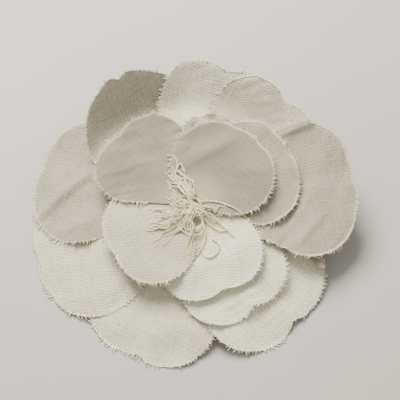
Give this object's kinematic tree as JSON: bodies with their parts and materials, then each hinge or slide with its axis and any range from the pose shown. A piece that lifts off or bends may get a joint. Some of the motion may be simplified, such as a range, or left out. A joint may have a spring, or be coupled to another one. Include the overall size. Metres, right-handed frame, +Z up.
{
  "type": "flower hair clip",
  "caption": "Layered fabric flower with a frayed-thread centre and a wrapped stem end, on a felt back with a sprung two-arm metal hair clip.",
  "frame": {"origin": "on the table plane that the flower rests on, under the middle of the flower's outline and its core", "axes": "+Z up out of the flower's face; +X across the flower's widest direction; +Y towards the raised petals"},
  "size_m": [0.1292, 0.117, 0.0351],
  "materials": {
    "white_cotton": "plain-woven off-white cotton, frayed raw edges",
    "white_felt": "off-white felt",
    "grey_card": "plain unbleached card",
    "dried_glue": "dried hot glue",
    "cream_thread": "cream cotton thread",
    "tan_paper": "tan wrapped paper and thread",
    "stem_steel": "dull florist's wire",
    "clip_steel": "nickel-plated sheet steel",
    "spring_steel": "drawn spring wire"
  },
  "bodies": {
    "flower": {"clip_upper_arm": "clip_steel", "clip_hinge_pin": "clip_steel", "clip_spring": "spring_steel", "clip_keeper_strip": "white_felt", "felt_back": "white_felt", "card_stiffener": "grey_card", "glue_pad": "dried_glue", "petal_core": "white_cotton", "petal_outer_bottom": "white_cotton", "petal_outer_lower_right": "white_cotton", "petal_outer_lower_left": "white_cotton", "petal_outer_left": "white_cotton", "petal_middle_lower_right": "white_cotton", "petal_outer_upper_left": "white_cotton", "petal_outer_top": "white_cotton", "petal_outer_upper_right": "white_cotton", "petal_outer_right": "white_cotton", "petal_middle_upper_right": "white_cotton", "petal_middle_right": "white_cotton", "petal_inner_lower_right": "white_cotton", "petal_inner_lower_left": "white_cotton", "petal_middle_upper_left": "white_cotton", "petal_inner_upper_right": "white_cotton", "stem_wire": "stem_steel", "stem_wrap": "tan_paper", "stamen_threads": "cream_thread", "stamen_binding": "cream_thread"},
    "lower_jaw": {"clip_lower_jaw": "clip_steel"}
  },
  "joints": [
    {"name": "jaw_hinge", "type": "hinge", "parent": "flower", "child": "lower_jaw", "pos_m": [0.00254, 0.00544, 0.0052], "axis": [0.9063, -0.4226, 0], "range_deg": [0, 20], "stiffness_Nm_per_rad": 0.13, "springref_deg": -40.11, "deforming": ["clip_spring"]}
  ]
}
